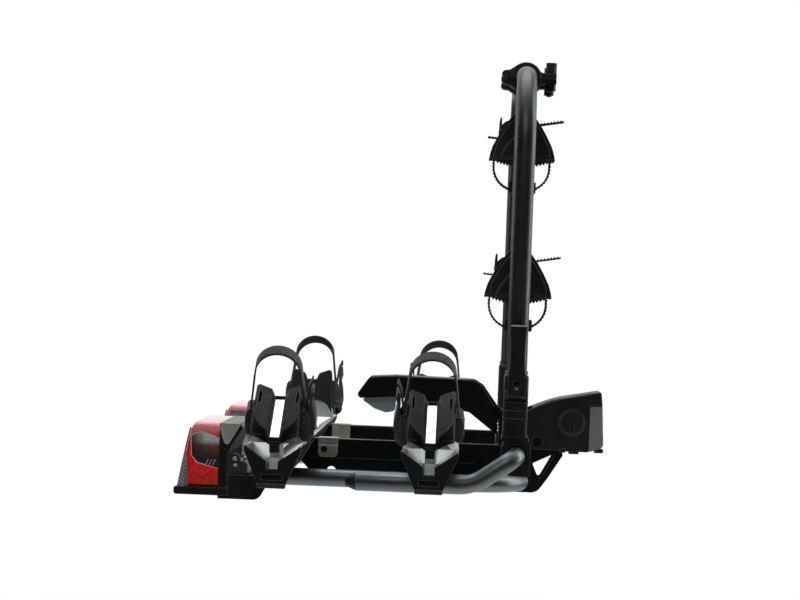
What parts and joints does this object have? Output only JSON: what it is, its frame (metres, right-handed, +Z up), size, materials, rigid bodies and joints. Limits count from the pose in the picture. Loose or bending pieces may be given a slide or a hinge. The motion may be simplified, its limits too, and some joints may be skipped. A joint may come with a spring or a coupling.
{
  "type": "tow ball bicycle carrier",
  "caption": "Tow-ball platform carrier for two bicycles, with wheel trays, ratchet straps, folding bow, frame holders and tail lamps.",
  "frame": {"origin": "centre of the tow ball held in the coupling", "axes": "+X forward, towards the vehicle; +Y to the vehicle's left; +Z up"},
  "size_m": [0.6278, 1.05, 0.659],
  "materials": {
    "black_plastic": "moulded, fine grain",
    "grey_plastic": "moulded",
    "tube_paint": "satin powder coat",
    "black_steel": "satin powder coat",
    "aluminium": "bright drawn",
    "zinc": "zinc plated",
    "steel": "machined",
    "rubber": "matt",
    "lamp_body": "semi-gloss",
    "lamp_lens": "clear gloss"
  },
  "bodies": {
    "coupling": {"coupling_housing": "black_steel", "coupling_cover": "black_plastic", "lever_pin": "steel"},
    "jaw": {"ball_jaw": "steel", "jaw_push_rod": "zinc"},
    "lever": {"coupling_lever": "black_steel"},
    "trigger": {"lever_trigger": "grey_plastic"},
    "platform": {"main_frame_tube": "tube_paint", "bow_supports": "tube_paint", "support_caps": "black_plastic", "side_beams": "black_steel", "beam_clips": "zinc", "rear_cross_bar": "black_steel", "lamp_carriers": "black_plastic", "centre_plates": "black_steel", "tilt_pin": "black_steel", "bow_pivot_pins": "black_steel", "pedal_pin": "steel", "front_wheel_tray": "aluminium", "rear_wheel_tray": "aluminium", "tray_end_caps": "black_plastic", "lamp_housings": "lamp_body", "lamp_lenses": "lamp_lens", "lamp_screws": "black_steel"},
    "pedal": {"foot_pedal": "black_plastic"},
    "release": {"release_rod": "zinc"},
    "bow": {"bow_tube": "tube_paint", "bow_hinge_blocks": "black_plastic", "bow_sleeves": "black_plastic", "lock_lever_pins": "steel"},
    "right_lock": {"right_lock_lever": "black_plastic"},
    "left_lock": {"left_lock_lever": "black_plastic"},
    "short_arm": {"short_arm": "black_steel", "short_arm_clamp_cap": "black_plastic"},
    "short_knob": {"short_arm_knob": "black_plastic"},
    "short_head": {"short_arm_head": "black_plastic", "short_arm_strap": "rubber"},
    "short_buckle": {"short_arm_buckle": "black_plastic"},
    "long_arm": {"long_arm": "black_steel", "long_arm_clamp_cap": "black_plastic"},
    "long_knob": {"long_arm_knob": "black_plastic"},
    "long_head": {"long_arm_head": "black_plastic", "long_arm_strap": "rubber"},
    "long_buckle": {"long_arm_buckle": "black_plastic"},
    "rear_right_holder": {"rear_right_holder_cradle": "black_plastic", "rear_right_holder_strap": "rubber", "rear_right_holder_foot": "aluminium"},
    "rear_right_buckle": {"rear_right_holder_buckle": "black_plastic"},
    "rear_left_holder": {"rear_left_holder_cradle": "black_plastic", "rear_left_holder_strap": "rubber", "rear_left_holder_foot": "aluminium"},
    "rear_left_buckle": {"rear_left_holder_buckle": "black_plastic"},
    "front_right_holder": {"front_right_holder_cradle": "black_plastic", "front_right_holder_strap": "rubber", "front_right_holder_foot": "aluminium"},
    "front_right_buckle": {"front_right_holder_buckle": "black_plastic"},
    "front_left_holder": {"front_left_holder_cradle": "black_plastic", "front_left_holder_strap": "rubber", "front_left_holder_foot": "aluminium"},
    "front_left_buckle": {"front_left_holder_buckle": "black_plastic"}
  },
  "joints": [
    {"name": "platform_tilt", "type": "hinge", "parent": "coupling", "child": "platform", "pos_m": [-0.052, 0, -0.001], "axis": [0, -1, 0], "range_deg": [0, 40]},
    {"name": "coupling_lever", "type": "hinge", "parent": "coupling", "child": "lever", "pos_m": [-0.132, 0, 0.053], "axis": [0, 1, 0], "range_deg": [0, 60]},
    {"name": "lever_trigger", "type": "hinge", "parent": "lever", "child": "trigger", "pos_m": [-0.288, 0, 0.068], "axis": [0, 1, 0], "range_deg": [0, 10]},
    {"name": "ball_jaw", "type": "slide", "parent": "coupling", "child": "jaw", "axis": [-1, 0, 0], "range_m": [0, 0.0065]},
    {"name": "foot_pedal", "type": "hinge", "parent": "platform", "child": "pedal", "pos_m": [-0.514, 0, -0.057], "axis": [0, -1, 0], "range_deg": [0, 22]},
    {"name": "release_rod", "type": "slide", "parent": "platform", "child": "release", "axis": [-1, 0, 0], "range_m": [0, 0.0045]},
    {"name": "bow_fold", "type": "hinge", "parent": "platform", "child": "bow", "pos_m": [-0.09, 0, -0.0085], "axis": [0, -1, 0], "range_deg": [0, 64]},
    {"name": "right_lock_lever", "type": "hinge", "parent": "bow", "child": "right_lock", "pos_m": [-0.093, -0.315, 0.0815], "axis": [-1, 0, 0], "range_deg": [-75, 0]},
    {"name": "left_lock_lever", "type": "hinge", "parent": "bow", "child": "left_lock", "pos_m": [-0.093, 0.315, 0.0815], "axis": [1, 0, 0], "range_deg": [-75, 0]},
    {"name": "short_arm_swing", "type": "hinge", "parent": "bow", "child": "short_arm", "pos_m": [-0.093, -0.06, 0.555], "axis": [0, 1, 0], "range_deg": [0, 110]},
    {"name": "short_clamp_knob", "type": "hinge", "parent": "short_arm", "child": "short_knob", "pos_m": [-0.055, -0.06, 0.56], "axis": [0, 0, 1], "continuous": true},
    {"name": "short_head_swivel", "type": "hinge", "parent": "short_arm", "child": "short_head", "pos_m": [-0.093, -0.06, 0.434], "axis": [0, 0, 1], "range_deg": [-90, 90]},
    {"name": "short_head_buckle", "type": "hinge", "parent": "short_head", "child": "short_buckle", "pos_m": [-0.129, -0.06, 0.474], "axis": [0, -1, 0], "range_deg": [0, 70]},
    {"name": "long_arm_swing", "type": "hinge", "parent": "bow", "child": "long_arm", "pos_m": [-0.093, -0.15, 0.555], "axis": [0, 1, 0], "range_deg": [0, 110]},
    {"name": "long_clamp_knob", "type": "hinge", "parent": "long_arm", "child": "long_knob", "pos_m": [-0.055, -0.15, 0.56], "axis": [0, 0, 1], "continuous": true},
    {"name": "long_head_swivel", "type": "hinge", "parent": "long_arm", "child": "long_head", "pos_m": [-0.093, -0.15, 0.222], "axis": [0, 0, 1], "range_deg": [-90, 90]},
    {"name": "long_head_buckle", "type": "hinge", "parent": "long_head", "child": "long_buckle", "pos_m": [-0.129, -0.15, 0.262], "axis": [0, -1, 0], "range_deg": [0, 70]},
    {"name": "rear_right_holder_slide", "type": "slide", "parent": "platform", "child": "rear_right_holder", "axis": [0, -1, 0], "range_m": [-0.14, 0]},
    {"name": "rear_right_buckle_lever", "type": "hinge", "parent": "rear_right_holder", "child": "rear_right_buckle", "pos_m": [-0.3835, -0.42094, 0.02365], "axis": [0, 0.8894, 0.4571], "range_deg": [0, 55]},
    {"name": "rear_left_holder_slide", "type": "slide", "parent": "platform", "child": "rear_left_holder", "axis": [0, 1, 0], "range_m": [-0.14, 0]},
    {"name": "rear_left_buckle_lever", "type": "hinge", "parent": "rear_left_holder", "child": "rear_left_buckle", "pos_m": [-0.3835, 0.42094, 0.02365], "axis": [0, 0.8894, -0.4571], "range_deg": [0, 55]},
    {"name": "front_right_holder_slide", "type": "slide", "parent": "platform", "child": "front_right_holder", "axis": [0, -1, 0], "range_m": [-0.14, 0]},
    {"name": "front_right_buckle_lever", "type": "hinge", "parent": "front_right_holder", "child": "front_right_buckle", "pos_m": [-0.2595, -0.42094, 0.02365], "axis": [0, -0.8894, -0.4571], "range_deg": [0, 55]},
    {"name": "front_left_holder_slide", "type": "slide", "parent": "platform", "child": "front_left_holder", "axis": [0, 1, 0], "range_m": [-0.14, 0]},
    {"name": "front_left_buckle_lever", "type": "hinge", "parent": "front_left_holder", "child": "front_left_buckle", "pos_m": [-0.2595, 0.42094, 0.02365], "axis": [0, -0.8894, 0.4571], "range_deg": [0, 55]}
  ],
  "couplings": [
    {"joint": "ball_jaw", "follows": "coupling_lever", "m_per_rad": 0.006},
    {"joint": "release_rod", "follows": "foot_pedal", "m_per_rad": 0.0105}
  ]
}
